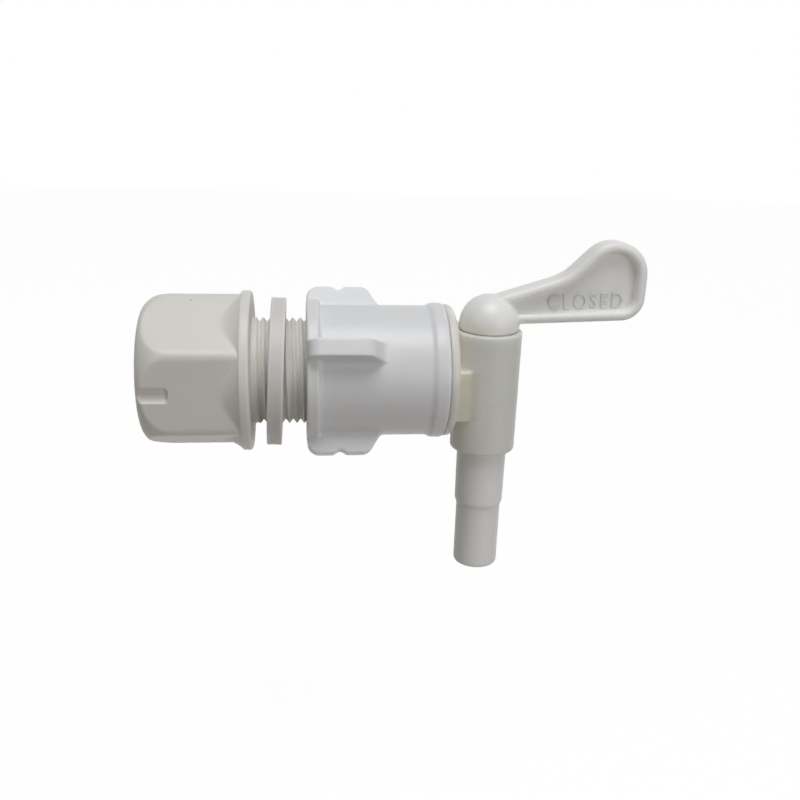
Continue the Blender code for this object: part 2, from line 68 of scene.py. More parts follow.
CAMERA_PITCH_DEG = 18.15
CAMERA_ROLL_DEG = 1.81


def make_camera():
    lens = bpy.data.cameras.new("photo_camera")
    lens.sensor_width = 36
    lens.lens = lens.sensor_width * FOCAL_PIXELS / PHOTO_PIXELS
    lens.clip_start = 0.01
    lens.clip_end = 20
    camera = bpy.data.objects.new("photo_camera", lens)
    bpy.context.scene.collection.objects.link(camera)
    yaw, pitch, roll = (math.radians(a) for a in (CAMERA_YAW_DEG, CAMERA_PITCH_DEG, CAMERA_ROLL_DEG))
    level_right = Vector((math.cos(yaw), -math.sin(yaw), 0))
    level_ahead = Vector((math.sin(yaw), math.cos(yaw), 0))
    ahead = level_ahead * math.cos(pitch) + Vector((0, 0, -math.sin(pitch)))
    level_up = level_ahead * math.sin(pitch) + Vector((0, 0, math.cos(pitch)))
    right = level_right * math.cos(roll) + level_up * math.sin(roll)
    up = level_up * math.cos(roll) - level_right * math.sin(roll)
    turn = Matrix((right, up, -ahead)).transposed().to_4x4()
    camera.matrix_world = Matrix.Translation(CAMERA_PLACE) @ turn
    bpy.context.scene.camera = camera


make_camera()
bpy.context.scene.view_settings.view_transform = "Standard"


# Studio: a plain pale floor below the tap, a dim even surround, one broad soft lamp high up and a
# little to the front, and a weaker one from the front right. The camera sees the surround and the
# floor as white, and the floor keeps a faint shadow. Sizes here are in metres.
FLOOR_BELOW = 0.07
FLOOR_SIZE = 4.0
FLOOR_COLOUR = (0.43, 0.40, 0.37, 1)
FLOOR_SHADOW_SHARE = 0.12
FLOOR_WHITE = 1.1
AMBIENT = 0.12
LAMP_SIZE = 0.5
TOP_PLACE = (0.02, -0.25, 0.75)
TOP_WATTS = 3.7
SIDE_PLACE = (0.50, -0.62, 0.10)
SIDE_WATTS = 1.3
TAP_MIDDLE = Vector((0.02, 0, -0.01))


def seen_directly(nodes, links):
    """1 for what the camera, a reflection or a see-through ray meets, and 0 for light that only bounces."""
    path = nodes.new("ShaderNodeLightPath")
    either = nodes.new("ShaderNodeMath")
    either.operation = "MAXIMUM"
    links.new(path.outputs["Is Camera Ray"], either.inputs[0])
    links.new(path.outputs["Is Glossy Ray"], either.inputs[1])
    both = nodes.new("ShaderNodeMath")
    both.operation = "MAXIMUM"
    links.new(either.outputs[0], both.inputs[0])
    links.new(path.outputs["Is Transmission Ray"], both.inputs[1])
    return both.outputs[0]


def make_surround():
    world = bpy.data.worlds.new("surround")
    bpy.context.scene.world = world
    world.use_nodes = True
    nodes, links = world.node_tree.nodes, world.node_tree.links
    strength = nodes.new("ShaderNodeMapRange")
    strength.inputs["To Min"].default_value = AMBIENT
    strength.inputs["To Max"].default_value = 1.0
    links.new(seen_directly(nodes, links), strength.inputs["Value"])
    links.new(strength.outputs["Result"], nodes["Background"].inputs["Strength"])
    nodes["Background"].inputs["Color"].default_value = (1, 1, 1, 1)


def make_floor():
    shape = bmesh.new()
    bmesh.ops.create_grid(shape, x_segments=2, y_segments=2, size=FLOOR_SIZE / 2)
    bmesh.ops.translate(shape, verts=shape.verts, vec=(0, 0, cad_box[0][2] - FLOOR_BELOW))
    mesh = bpy.data.meshes.new("floor")
    shape.to_mesh(mesh)
    shape.free()
    floor = bpy.data.objects.new("floor", mesh)
    bpy.context.scene.collection.objects.link(floor)
    material = bpy.data.materials.new("pale floor")
    material.use_nodes = True
    nodes, links = material.node_tree.nodes, material.node_tree.links
    paint = nodes["Principled BSDF"]
    paint.inputs["Base Color"].default_value = FLOOR_COLOUR
    paint.inputs["Roughness"].default_value = 0.9
    white = nodes.new("ShaderNodeEmission")
    white.inputs["Strength"].default_value = FLOOR_WHITE
    mix = nodes.new("ShaderNodeMixShader")
    share = nodes.new("ShaderNodeMapRange")
    share.inputs["To Max"].default_value = 1 - FLOOR_SHADOW_SHARE
    links.new(seen_directly(nodes, links), share.inputs["Value"])
    links.new(share.outputs["Result"], mix.inputs["Fac"])
    links.new(paint.outputs["BSDF"], mix.inputs[1])
    links.new(white.outputs["Emission"], mix.inputs[2])
    links.new(mix.outputs["Shader"], nodes["Material Output"].inputs["Surface"])
    mesh.materials.append(material)


def make_lamp(name, place, watts):
    light = bpy.data.lights.new(name, "AREA")
    light.shape = "DISK"
    light.size = LAMP_SIZE
    light.energy = watts
    lamp = bpy.data.objects.new(name, light)
    bpy.context.scene.collection.objects.link(lamp)
    lamp.location = place
    lamp.rotation_euler = (TAP_MIDDLE - Vector(place)).to_track_quat("-Z", "Y").to_euler()


make_surround()
make_floor()
make_lamp("top_lamp", TOP_PLACE, TOP_WATTS)
make_lamp("side_lamp", SIDE_PLACE, SIDE_WATTS)


# Hex bolt: warm off-white polypropylene, moulded in one with its flange and its pipe thread.
# It is spun about the barrel's axis, then the head's flats, its two grooves and the thread are made
# by moving the points of the round blank in or out. Shapes from here on are drawn in millimetres.
MM = 0.001
BOLT_STEPS = 360
BOLT_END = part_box("hex_bolt")[1][0] / MM
HEAD_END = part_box("hex_bolt")[0][0] / MM
FLANGE_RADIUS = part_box("hex_bolt")[1][1] / MM
FLANGE_FACE = -13.2
FLANGE_BACK = -15.8
HEX_HALF_FLATS = 17.2
HEX_CORNER = HEX_HALF_FLATS / math.cos(math.pi / 6)
HEX_CORNER_LIMIT = 19.5
HEX_TURN_DEG = 26.3
HEAD_CUP_RADIUS = 13.8
HEAD_LIP_RADIUS = 14.4
HEAD_CUP_FLOOR = -18.2
BOLT_BORE_RADIUS = 9.8
DOMED_LENGTH = 10.0
SCOOP_START = -21.8
SCOOP_LOW = 17.0
SCOOP_HIGH = FLANGE_RADIUS - 0.5
GROOVE_BAR_RADIUS = 2.305
GROOVE_DEPTH = 1.0
GROOVE_END = HEAD_END + 7.6
GROOVE_END_ROUND = 0.7
CREST_RADIUS = 13.2
PITCH = 1.814
THREAD_DEPTH = 1.0
THREAD_START = -12.4
THREAD_RUN_OUT = 0.9
THREAD_RING = PITCH / 9


def arc(centre_x, centre_r, radius, start_deg, end_deg, pieces=6):
    """Points of a round stretch in (along, radius) terms, the angle counted from the axis direction."""
    angles = [math.radians(start_deg + (end_deg - start_deg) * i / pieces) for i in range(pieces + 1)]
    return [(centre_x + radius * math.cos(a), centre_r + radius * math.sin(a)) for a in angles]


def run(start, end, spacing):
    """Evenly spaced points along a straight stretch, both ends left out."""
    count = max(1, round(math.dist(start, end) / spacing))
    return [tuple(a + (b - a) * i / count for a, b in zip(start, end)) for i in range(1, count)]


def spun(outline, steps, axis):
    """A closed outline of (along, radius) points, spun right round the X or the Z axis."""
    shape = bmesh.new()
    verts = [shape.verts.new((a, 0, r) if axis == "X" else (r, 0, a)) for a, r in outline]
    pairs = list(zip(verts, verts[1:] + verts[:1]))
    if outline[0][1] == 0 and outline[-1][1] == 0:
        pairs.pop()
    edges = [shape.edges.new(pair) for pair in pairs]
    about = (1, 0, 0) if axis == "X" else (0, 0, 1)
    bmesh.ops.spin(
        shape, geom=verts + edges, cent=(0, 0, 0), axis=about, angle=2 * math.pi, steps=steps, use_merge=True,
    )
    bmesh.ops.remove_doubles(shape, verts=shape.verts, dist=0.0001)
    bmesh.ops.recalc_face_normals(shape, faces=shape.faces)
    return shape


def piece_from(shape, name, material, sharp_deg=40):
    """Makes a finished object of a bmesh in millimetres, at the origin."""
    bmesh.ops.scale(shape, verts=shape.verts, vec=(MM, MM, MM))
    mesh = bpy.data.meshes.new(name)
    shape.to_mesh(mesh)
    shape.free()
    mesh.shade_smooth()
    mesh.set_sharp_from_angle(angle=math.radians(sharp_deg))
    mesh.materials.append(material)
    piece = bpy.data.objects.new(name, mesh)
    bpy.context.scene.collection.objects.link(piece)
    return piece


def soft_min(a, b, blend):
    """The smaller of two radii, rounded where they cross."""
    share = max(blend - abs(a - b), 0) / blend
    return min(a, b) - share * share * blend / 4


def soft_max(a, b, blend):
    """The larger of two radii, rounded where they cross."""
    return -soft_min(-a, -b, blend)


def smooth_step(low, high, value):
    """Rises softly from 0 at the low value to 1 at the high one."""
    share = min(1, max(0, (value - low) / (high - low)))
    return share * share * (3 - 2 * share)


def head_radius(along, angle):
    """The hex head's outside, where angle is measured from -Y up towards +Z."""
    from_flat = (angle - math.radians(HEX_TURN_DEG - 30) + math.pi / 6) % (math.pi / 3) - math.pi / 6
    radius = soft_min(HEX_HALF_FLATS / math.cos(from_flat), HEX_CORNER_LIMIT, 0.5)
    share = min(1, max(0, (along - HEAD_END) / DOMED_LENGTH))
    dome = HEAD_LIP_RADIUS + (HEX_CORNER - HEAD_LIP_RADIUS) * math.sqrt(1 - (1 - share) ** 2)
    radius = soft_min(radius, dome, 0.35)
    if along > SCOOP_START:
        rise = (along - SCOOP_START) / (FLANGE_BACK - SCOOP_START)
        radius = soft_max(radius, SCOOP_LOW + (SCOOP_HIGH - SCOOP_LOW) * rise * rise, 0.3)
    return min(radius, groove_radius(along, angle))


def groove_radius(along, angle):
    """How far out the round groove in the two opposite flats lets the head reach."""
    turned = (angle - math.radians(HEX_TURN_DEG - 30) + math.pi / 2) % math.pi - math.pi / 2
    aside = HEX_HALF_FLATS * math.tan(turned)
    past = max(0, along - GROOVE_END + GROOVE_END_ROUND)
    if past > GROOVE_END_ROUND:
        return HEX_CORNER
    bar = GROOVE_BAR_RADIUS - GROOVE_END_ROUND + math.sqrt(GROOVE_END_ROUND ** 2 - past ** 2)
    if abs(aside) > bar:
        return HEX_CORNER
    bar_centre = HEX_HALF_FLATS + GROOVE_BAR_RADIUS - GROOVE_DEPTH
    return (bar_centre - math.sqrt(bar ** 2 - aside ** 2)) / math.cos(turned)


def thread_radius(along, angle):
    """The right-handed pipe thread, which fades in after the plain shoulder by the flange."""
    turn = (along / PITCH - angle / (2 * math.pi)) % 1
    height = min(1, max(0, (abs(2 * turn - 1) - 0.1) / 0.78))
    fade = smooth_step(THREAD_START, THREAD_START + THREAD_RUN_OUT, along)
    return CREST_RADIUS - THREAD_DEPTH * (1 - height) * fade


def make_hex_bolt(material):
    dome_start = (HEAD_END + 1.9, HEX_HALF_FLATS)
    flange_foot = (FLANGE_BACK, SCOOP_HIGH)
    shank_end = BOLT_END - 1.0
    outline = [
        (HEAD_END + 0.5, HEAD_CUP_RADIUS),
        (HEAD_END + 0.15, HEAD_CUP_RADIUS + 0.12),
        (HEAD_END, HEAD_CUP_RADIUS + 0.4),
        *[(HEAD_END + DOMED_LENGTH * (1 - math.cos(math.radians(3 * i))), HEX_HALF_FLATS) for i in range(12)],
        dome_start,
        *run(dome_start, flange_foot, 0.3),
        flange_foot,
        *arc(FLANGE_BACK + 0.7, FLANGE_RADIUS - 0.7, 0.7, 160, 90, 4),
        *arc(FLANGE_FACE - 0.7, FLANGE_RADIUS - 0.7, 0.7, 90, 0, 6),
        *arc(FLANGE_FACE + 0.3, CREST_RADIUS + 0.3, 0.3, 180, 270, 3),
        *run((FLANGE_FACE + 0.3, CREST_RADIUS), (shank_end, CREST_RADIUS), THREAD_RING),
        (shank_end, CREST_RADIUS),
        (BOLT_END, CREST_RADIUS - 1.0),
        (BOLT_END, BOLT_BORE_RADIUS + 0.3),
        (BOLT_END - 0.3, BOLT_BORE_RADIUS),
        (HEAD_CUP_FLOOR + 0.4, BOLT_BORE_RADIUS),
        (HEAD_CUP_FLOOR, BOLT_BORE_RADIUS + 0.4),
        *arc(HEAD_CUP_FLOOR - 1.5, HEAD_CUP_RADIUS - 1.5, 1.5, 0, 90, 5),
    ]
    shape = spun(outline, BOLT_STEPS, "X")
    for vert in shape.verts:
        along, radius = vert.co.x, math.hypot(vert.co.y, vert.co.z)
        from_front = math.atan2(vert.co.z, -vert.co.y)
        wanted = radius
        if along < FLANGE_BACK - 0.01 and radius > HEX_HALF_FLATS - 0.1:
            wanted = head_radius(along, from_front)
        elif THREAD_START < along <= shank_end + 0.01 and radius > CREST_RADIUS - 0.1:
            wanted = thread_radius(along, math.atan2(vert.co.z, vert.co.y))
        vert.co.y *= wanted / radius
        vert.co.z *= wanted / radius
    bolt = piece_from(shape, "threaded_hex_bolt", material)
    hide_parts("hex_bolt")
    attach(bolt, "bolt")


CLOUD_SCALE = 90
SPECK_SCALE = 190
SPECK_RARITY = 0.72
SPECK_COLOUR = (0.10, 0.09, 0.08, 1)
# Painted highlight: the pale colour laid on sharp convex edges, where light catches them.
EDGE_HIGHLIGHT_COLOUR = (0.95, 0.95, 0.93, 1)
GRAIN_SCALE = 1400


def skin_group():
    """The skin of a moulding: faint flow clouds, fine grain, a few dark specks and a painted highlight on
    sharp edges.
    """
    group = bpy.data.node_groups.new("moulded skin", "ShaderNodeTree")
    for name, kind, value in (
        ("Colour", "NodeSocketColor", (0.8, 0.8, 0.8, 1)),
        ("Cloud", "NodeSocketFloat", 0.03),
        ("Specks", "NodeSocketFloat", 0.5),
        ("Edge highlight", "NodeSocketFloat", 0.3),
        ("Roughness", "NodeSocketFloat", 0.4),
        ("Grain", "NodeSocketFloat", 0.1),
    ):
        socket = group.interface.new_socket(name=name, in_out="INPUT", socket_type=kind)
        socket.default_value = value
    group.interface.new_socket(name="Colour", in_out="OUTPUT", socket_type="NodeSocketColor")
    group.interface.new_socket(name="Roughness", in_out="OUTPUT", socket_type="NodeSocketFloat")
    group.interface.new_socket(name="Normal", in_out="OUTPUT", socket_type="NodeSocketVector")
    nodes, links = group.nodes, group.links
    given = nodes.new("NodeGroupInput")
    result = nodes.new("NodeGroupOutput")
    place = nodes.new("ShaderNodeTexCoord")

    cloud = nodes.new("ShaderNodeTexNoise")
    cloud.inputs["Scale"].default_value = CLOUD_SCALE
    cloud.inputs["Detail"].default_value = 3
    links.new(place.outputs["Object"], cloud.inputs["Vector"])
    shade = nodes.new("ShaderNodeMath")
    shade.operation = "MULTIPLY_ADD"
    shade.inputs[2].default_value = 1.0
    centred = nodes.new("ShaderNodeMath")
    centred.operation = "SUBTRACT"
    centred.inputs[1].default_value = 0.5
    links.new(cloud.outputs["Fac"], centred.inputs[0])
    links.new(centred.outputs[0], shade.inputs[0])
    links.new(given.outputs["Cloud"], shade.inputs[1])
    tinted = nodes.new("ShaderNodeVectorMath")
    tinted.operation = "SCALE"
    links.new(given.outputs["Colour"], tinted.inputs[0])
    links.new(shade.outputs[0], tinted.inputs["Scale"])

    cells = nodes.new("ShaderNodeTexVoronoi")
    cells.inputs["Scale"].default_value = SPECK_SCALE
    links.new(place.outputs["Object"], cells.inputs["Vector"])
    dot = nodes.new("ShaderNodeMapRange")
    dot.inputs["From Min"].default_value = 0.035
    dot.inputs["From Max"].default_value = 0.06
    dot.inputs["To Min"].default_value = 1
    dot.inputs["To Max"].default_value = 0
    links.new(cells.outputs["Distance"], dot.inputs["Value"])
    chosen = nodes.new("ShaderNodeSeparateColor")
    links.new(cells.outputs["Color"], chosen.inputs["Color"])
    rare = nodes.new("ShaderNodeMath")
    rare.operation = "GREATER_THAN"
    rare.inputs[1].default_value = SPECK_RARITY
    links.new(chosen.outputs["Red"], rare.inputs[0])
    here = nodes.new("ShaderNodeMath")
    here.operation = "MULTIPLY"
    links.new(dot.outputs["Result"], here.inputs[0])
    links.new(rare.outputs[0], here.inputs[1])
    amount = nodes.new("ShaderNodeMath")
    amount.operation = "MULTIPLY"
    links.new(here.outputs[0], amount.inputs[0])
    links.new(given.outputs["Specks"], amount.inputs[1])
    specked = nodes.new("ShaderNodeMix")
    specked.data_type = "RGBA"
    specked.inputs["B"].default_value = SPECK_COLOUR
    links.new(amount.outputs[0], specked.inputs["Factor"])
    links.new(tinted.outputs["Vector"], specked.inputs["A"])

    # Painted highlight: sharp edges, found by the mesh's pointiness, are turned paler, as light catching them
    # would make them.
    relief = nodes.new("ShaderNodeNewGeometry")
    edge_highlight_mask = nodes.new("ShaderNodeMapRange")
    edge_highlight_mask.inputs["From Min"].default_value = 0.51
    edge_highlight_mask.inputs["From Max"].default_value = 0.58
    links.new(relief.outputs["Pointiness"], edge_highlight_mask.inputs["Value"])
    edge = nodes.new("ShaderNodeMath")
    edge.operation = "MULTIPLY"
    links.new(edge_highlight_mask.outputs["Result"], edge.inputs[0])
    links.new(given.outputs["Edge highlight"], edge.inputs[1])
    edge_highlighted = nodes.new("ShaderNodeMix")
    edge_highlighted.data_type = "RGBA"
    edge_highlighted.inputs["B"].default_value = EDGE_HIGHLIGHT_COLOUR
    links.new(edge.outputs[0], edge_highlighted.inputs["Factor"])
    links.new(specked.outputs["Result"], edge_highlighted.inputs["A"])
    links.new(edge_highlighted.outputs["Result"], result.inputs["Colour"])

    worn = nodes.new("ShaderNodeMath")
    worn.operation = "MULTIPLY_ADD"
    worn.inputs[1].default_value = 0.22
    links.new(centred.outputs[0], worn.inputs[0])
    links.new(given.outputs["Roughness"], worn.inputs[2])
    links.new(worn.outputs[0], result.inputs["Roughness"])

    grain = nodes.new("ShaderNodeTexNoise")
    grain.inputs["Scale"].default_value = GRAIN_SCALE
    grain.inputs["Detail"].default_value = 2
    links.new(place.outputs["Object"], grain.inputs["Vector"])
    bump = nodes.new("ShaderNodeBump")
    bump.inputs["Distance"].default_value = 0.0001
    links.new(given.outputs["Grain"], bump.inputs["Strength"])
    links.new(grain.outputs["Fac"], bump.inputs["Height"])
    links.new(bump.outputs["Normal"], result.inputs["Normal"])
    return group


moulded_skin = skin_group()


def moulded(name, colour, roughness, glow, glow_depth, specks=0.4, cloud=0.06, grain=0.12, edge=0.3):
    """A plastic with the shared skin. Its glow is the share of light that goes in, to a depth in metres, and
    its edge is the strength of the painted highlight on sharp edges.
    """
    material = bpy.data.materials.new(name)
    material.use_nodes = True
    nodes, links = material.node_tree.nodes, material.node_tree.links
    plastic = nodes["Principled BSDF"]
    plastic.inputs["IOR"].default_value = 1.49
    plastic.inputs["Subsurface Weight"].default_value = glow
    plastic.inputs["Subsurface Radius"].default_value = (1.0, 0.95, 0.85)
    plastic.inputs["Subsurface Scale"].default_value = glow_depth
    skin = nodes.new("ShaderNodeGroup")
    skin.node_tree = moulded_skin
    skin.inputs["Colour"].default_value = (*colour, 1)
    skin.inputs["Roughness"].default_value = roughness
    skin.inputs["Specks"].default_value = specks
    skin.inputs["Cloud"].default_value = cloud
    skin.inputs["Grain"].default_value = grain
    skin.inputs["Edge highlight"].default_value = edge
    links.new(skin.outputs["Colour"], plastic.inputs["Base Color"])
    links.new(skin.outputs["Roughness"], plastic.inputs["Roughness"])
    links.new(skin.outputs["Normal"], plastic.inputs["Normal"])
    return material


make_hex_bolt(moulded("warm off-white plastic", (0.765, 0.748, 0.71), 0.44, 0.25, 0.0015))


# Sealing washer: a thick, softer off-white ring, punched square and left loose on the thread.
# It hangs a little low and leans a little, as it does in the CAD.
WASHER_RADIUS = 18.4
WASHER_HOLE_RADIUS = 13.85
WASHER_HALF = 1.8
WASHER_LEAN_DEG = 2.3


def make_washer(material):
    low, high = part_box("sealing_washer")
    outline = [
        *arc(-WASHER_HALF + 0.3, WASHER_RADIUS - 0.3, 0.3, 180, 90, 4),
        (-WASHER_HALF + 0.9, WASHER_RADIUS - 0.06),
        (WASHER_HALF - 0.9, WASHER_RADIUS - 0.06),
        *arc(WASHER_HALF - 0.3, WASHER_RADIUS - 0.3, 0.3, 90, 0, 4),
        *arc(WASHER_HALF - 0.25, WASHER_HOLE_RADIUS + 0.25, 0.25, 0, -90, 3),
        *arc(-WASHER_HALF + 0.25, WASHER_HOLE_RADIUS + 0.25, 0.25, -90, -180, 3),
    ]
    shape = spun(outline, 160, "X")
    lean = Matrix.Rotation(math.radians(WASHER_LEAN_DEG), 4, "Y")
    middle = (Vector(low) + Vector(high)) / 2 / MM
    bmesh.ops.transform(shape, matrix=Matrix.Translation(middle) @ lean, verts=shape.verts)
    washer = piece_from(shape, "loose_washer", material)
    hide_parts("sealing_washer")
    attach(washer, "washer")


make_washer(moulded(
    "soft washer plastic", (0.68, 0.67, 0.655), 0.48, 0.45, 0.0025, specks=0.2, cloud=0.05, edge=0.9,
))


# Winged socket: cool white polypropylene, moulded smooth outside, with four wings to grip by hand.
# The wings are joined to the sleeve, then the whole is melted into one skin, which rounds each edge
# and each inner corner as a mould does.
SOCKET_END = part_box("winged_socket")[1][0] / MM
SOCKET_RADIUS = 16.4
SOCKET_RIM_RADIUS = 17.8
SOCKET_RIM_LENGTH = 3.0
SOCKET_BEAD_RADIUS = 17.05
SOCKET_MOUTH_RADIUS = 13.52
SOCKET_SHOULDER = (21.7, 23.2)
SOCKET_SHOULDER_RADIUS = 9.5
BEAD_SLOPE = SOCKET_END - 3.8
WING_TURN_DEG = 30.8
WING_RADIUS = 21.5
WING_ROOT_RADIUS = 14.6
WING_HALF_THICK = 2.1
WING_DRAFT = 0.3
WING_START = 0.15
WING_CREST_END = 15.2
WING_CORNER_ROUND = 3.0
WING_FOOT = 18.4
WING_FOOT_ROUND = 2.6
WING_TOE = 20.4
WING_TOE_DROP = 0.5
NOTCH_AT = 8.2
NOTCH_HALF_WIDTH = 1.65
NOTCH_DEPTH = 1.15


def rounded_outline(corners, step_deg=9):
    """A closed outline from (x, y, radius) corners, each turned into an arc of its radius."""
    outline = []
    for i, (x, y, radius) in enumerate(corners):
        here = Vector((x, y))
        before = (Vector(corners[i - 1][:2]) - here).normalized()
        after = (Vector(corners[(i + 1) % len(corners)][:2]) - here).normalized()
        if radius == 0:
            outline.append((x, y))
            continue
        half = before.angle(after) / 2
        centre = here + (before + after).normalized() * radius / math.sin(half)
        first = here + before * radius / math.tan(half) - centre
        turn = first.angle_signed(here + after * radius / math.tan(half) - centre)
        count = max(2, math.ceil(abs(math.degrees(turn)) / step_deg))
        for k in range(count + 1):
            outline.append(tuple(centre + Matrix.Rotation(-turn * k / count, 2) @ first))
    return outline


def standing_plate(outline, half_thick):
    """A plate on an (x, z) outline, centred on the XZ plane."""
    shape = bmesh.new()
    face = shape.faces.new([shape.verts.new((x, -half_thick, z)) for x, z in outline])
    grown = bmesh.ops.extrude_face_region(shape, geom=[face])
    moved = [v for v in grown["geom"] if isinstance(v, bmesh.types.BMVert)]
    bmesh.ops.translate(shape, verts=moved, vec=(0, 2 * half_thick, 0))
    bmesh.ops.recalc_face_normals(shape, faces=shape.faces)
    return shape


def blank(shape, name):
    """A working object in millimetres, used up by the next join."""
    mesh = bpy.data.meshes.new(name)
    shape.to_mesh(mesh)
    shape.free()
    work = bpy.data.objects.new(name, mesh)
    bpy.context.scene.collection.objects.link(work)
    return work


def combine(work, tools, how):
    """Joins each tool to the blank, or cuts it away, and removes the tools."""
    for tool in tools:
        cut = work.modifiers.new(how.lower(), "BOOLEAN")
        cut.operation = how
        cut.solver = "EXACT"
        cut.object = tool
    bpy.context.view_layer.update()
    seen = work.evaluated_get(bpy.context.evaluated_depsgraph_get())
    mesh = bpy.data.meshes.new_from_object(seen)
    work.modifiers.clear()
    work.data = mesh
    for tool in tools:
        bpy.data.objects.remove(tool)


def melted(work, name, material, skin_size, passes):
    """Melts a blank into one even skin and smooths it, which leaves soft moulded edges."""
    remesh = work.modifiers.new("skin", "REMESH")
    remesh.mode = "VOXEL"
    remesh.voxel_size = skin_size
    soften = work.modifiers.new("soften", "SMOOTH")
    soften.factor = 0.5
    soften.iterations = passes
    bpy.context.view_layer.update()
    seen = work.evaluated_get(bpy.context.evaluated_depsgraph_get())
    mesh = bpy.data.meshes.new_from_object(seen)
    bpy.data.objects.remove(work)
    shape = bmesh.new()
    shape.from_mesh(mesh)
    return piece_from(shape, name, material, sharp_deg=180)


def make_wing(notched):
    """An upright wing that thickens towards its root, with or without a thumb notch in its crest."""
    notch = [
        (NOTCH_AT - NOTCH_HALF_WIDTH, WING_RADIUS, 0.7),
        (NOTCH_AT, WING_RADIUS - NOTCH_DEPTH, 1.0),
        (NOTCH_AT + NOTCH_HALF_WIDTH, WING_RADIUS, 0.7),
    ]
    outline = rounded_outline([
        (WING_START, WING_ROOT_RADIUS, 0),
        (WING_START, WING_RADIUS, WING_CORNER_ROUND),
        *(notch if notched else []),
        (WING_CREST_END, WING_RADIUS, WING_CORNER_ROUND),
        (WING_FOOT, SOCKET_RADIUS, WING_FOOT_ROUND),
        (WING_TOE, SOCKET_RADIUS - WING_TOE_DROP, 0),
        (WING_TOE, WING_ROOT_RADIUS, 0),
    ])
    shape = standing_plate(outline, WING_HALF_THICK)
    for vert in shape.verts:
        depth = (WING_RADIUS - vert.co.z) / (WING_RADIUS - SOCKET_RADIUS)
        vert.co.y *= 1 + WING_DRAFT * depth / WING_HALF_THICK
    return shape


def make_socket(material):
    outline = [
        (0, SOCKET_MOUTH_RADIUS + 0.7),
        *arc(0.4, SOCKET_RIM_RADIUS - 0.4, 0.4, 180, 90, 4),
        *arc(SOCKET_RIM_LENGTH - 0.2, SOCKET_RIM_RADIUS - 0.2, 0.2, 90, 0, 3),
        *arc(SOCKET_RIM_LENGTH + 0.6, SOCKET_RADIUS + 0.6, 0.6, 180, 270, 5),
        (BEAD_SLOPE - 0.75, SOCKET_RADIUS),
        (BEAD_SLOPE - 0.4, SOCKET_RADIUS + 0.08),
        (BEAD_SLOPE + 0.4, SOCKET_BEAD_RADIUS - 0.1),
        (BEAD_SLOPE + 0.75, SOCKET_BEAD_RADIUS),
        *arc(SOCKET_END - 0.9, SOCKET_BEAD_RADIUS - 0.9, 0.9, 90, 0, 6),
        (SOCKET_END, SOCKET_MOUTH_RADIUS + 0.7),
        (SOCKET_END - 0.7, SOCKET_MOUTH_RADIUS),
        (SOCKET_SHOULDER[1], SOCKET_MOUTH_RADIUS),
        (SOCKET_SHOULDER[1], SOCKET_SHOULDER_RADIUS),
        (SOCKET_SHOULDER[0], SOCKET_SHOULDER_RADIUS),
        (SOCKET_SHOULDER[0], SOCKET_MOUTH_RADIUS),
        (0.7, SOCKET_MOUTH_RADIUS),
    ]
    work = blank(spun(outline, 180, "X"), "socket_blank")
    wings = []
    for i in range(4):
        shape = make_wing(notched=i % 2 == 1)
        turn = Matrix.Rotation(math.radians(-WING_TURN_DEG - 90 * i + 90), 4, "X")
        bmesh.ops.transform(shape, matrix=turn, verts=shape.verts)
        wings.append(blank(shape, "wing"))
    combine(work, wings, "UNION")
    socket = melted(work, "socket_with_wings", material, skin_size=0.34, passes=2)
    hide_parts("winged_socket")
    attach(socket, "fixed_tap")


make_socket(moulded(
    "cool white plastic", (0.775, 0.782, 0.795), 0.38, 0.25, 0.0015, specks=0.25, cloud=0.04, edge=0.5,
))


# Tail seal: a flat soft ring inside the socket, seen only down the bolt's bore.
# The CAD solid has the right shape and only takes the washer's kind of plastic.
frame["nodes"]["tail_seal"].data.materials.clear()
frame["nodes"]["tail_seal"].data.materials.append(
    moulded("seal plastic", (0.76, 0.75, 0.72), 0.5, 0.3, 0.002, specks=0.0)
)


# Tap body: natural, uncoloured polypropylene, moulded in one: a disc with a tail, a square duct, a thin
# web and the upright housing that the plug turns in. The plastic is milky, so light goes into it.
# The tail's thread is hidden in the socket and is left plain.
HUB_X = frame["record"]["behaviour"]["joints"][0]["pos_m"][0] / MM
DISC_LEFT = SOCKET_END + 0.05
DISC_RIGHT = SOCKET_END + 2.3
DISC_RADIUS = 16.7
TAIL_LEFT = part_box("tap_body")[0][0] / MM
TAIL_BORE_RADIUS = 10.2
HOUSING_TOP = 10.6
HOUSING_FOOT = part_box("tap_body")[0][2] / MM
HOUSING_TOP_RADIUS = 8.5
HOUSING_FOOT_RADIUS = 8.4
HOUSING_BORE_TOP_RADIUS = 6.85
HOUSING_BORE_FOOT_RADIUS = 6.65
DUCT_HALF_WIDTH = 7
DUCT_LOW = -11.6
DUCT_HIGH = 1.3
WEB_HALF_THICK = 1.1
WEB_LOW = -15.5
WEB_HIGH = 9.9
WEB_HEAD_HALF_THICK = 1.2
WEB_HEAD_LOW = 9.2
WEB_HEAD_HIGH = 12.9
PORT_Z = -5.15
PORT_RADIUS = 4.1
NATURAL_PALE = (0.89, 0.87, 0.765)
# Painted shade: the darker colour laid over the duct, where the hollow behind the thin walls darkens them.
NATURAL_PAINTED_SHADE = (0.72, 0.695, 0.58)


def make_box(low, high):
    """A plain block between two corners."""
    shape = bmesh.new()
    bmesh.ops.create_cube(shape, size=1)
    bmesh.ops.scale(shape, verts=shape.verts, vec=[b - a for a, b in zip(low, high)])
    bmesh.ops.translate(shape, verts=shape.verts, vec=[(a + b) / 2 for a, b in zip(low, high)])
    return shape


